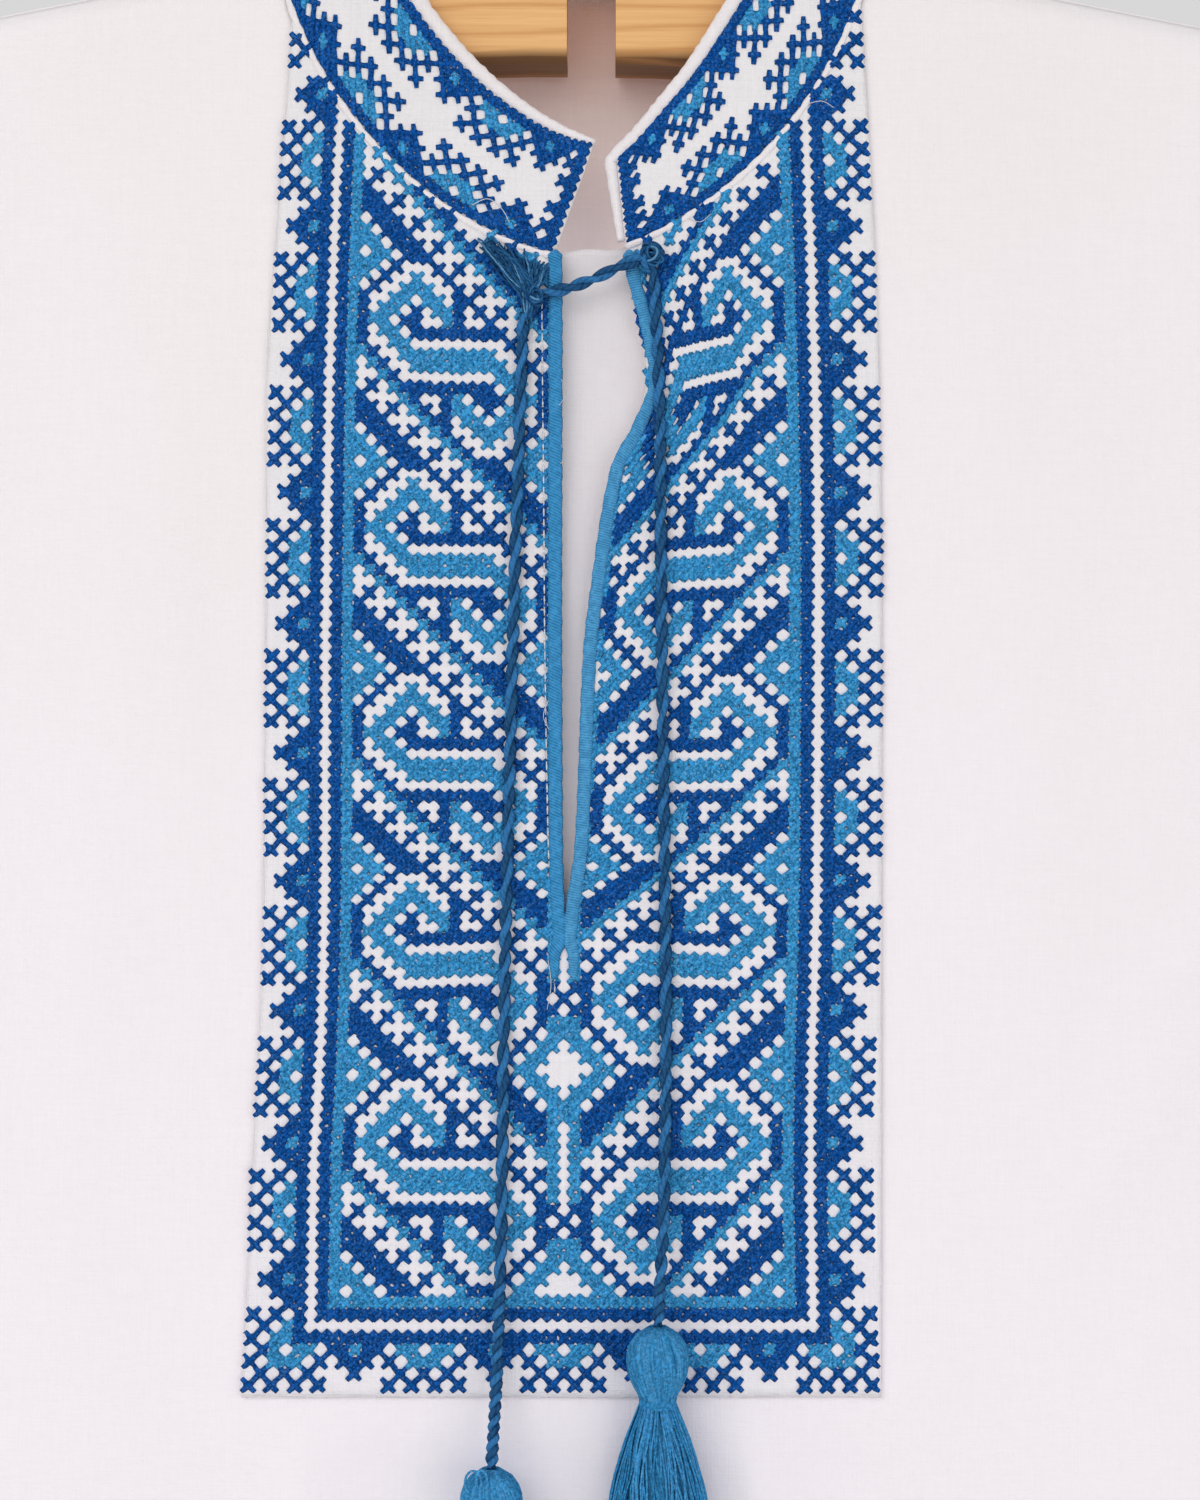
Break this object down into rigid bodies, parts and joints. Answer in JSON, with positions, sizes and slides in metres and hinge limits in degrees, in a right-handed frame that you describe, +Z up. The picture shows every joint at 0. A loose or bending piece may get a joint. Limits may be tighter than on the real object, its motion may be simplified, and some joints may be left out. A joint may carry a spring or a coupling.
{
  "type": "embroidered shirt on hanger",
  "caption": "Long-sleeved pullover shirt with an embroidered chest panel and stand-up collar, slit neck and tasselled cord, hanging on a notched board hanger.",
  "frame": {"origin": "inner top of the hanger's hook, where it sits on a rail", "axes": "+Z up, the shirt's front faces -Y, +X to the right as seen from the front"},
  "size_m": [0.8262, 0.0981, 0.8485],
  "materials": {
    "steel": "bent bright wire",
    "pine": "clear satin varnish",
    "cotton": "plain weave, pressed",
    "panel_cotton": "plain weave, embroidered",
    "underlay_cotton": "fine twill",
    "white_braid": "rolled edge",
    "light_thread": "matt wool thread",
    "dark_thread": "matt wool thread"
  },
  "bodies": {
    "root": {"hook": "steel", "hanger": "pine", "front": "cotton", "back": "cotton", "sleeve_left": "cotton", "sleeve_right": "cotton", "plastron": "panel_cotton", "collar": "panel_cotton", "collar_piping": "white_braid", "slit_binding_left": "light_thread", "slit_binding_right": "light_thread", "slit_underlay": "underlay_cotton", "cord_knot_left": "dark_thread", "cord_knot_right": "dark_thread", "cord_bridge": "dark_thread", "cord_left": "dark_thread", "cord_right": "dark_thread", "tassel_left": "light_thread", "tassel_right": "light_thread"}
  },
  "joints": []
}
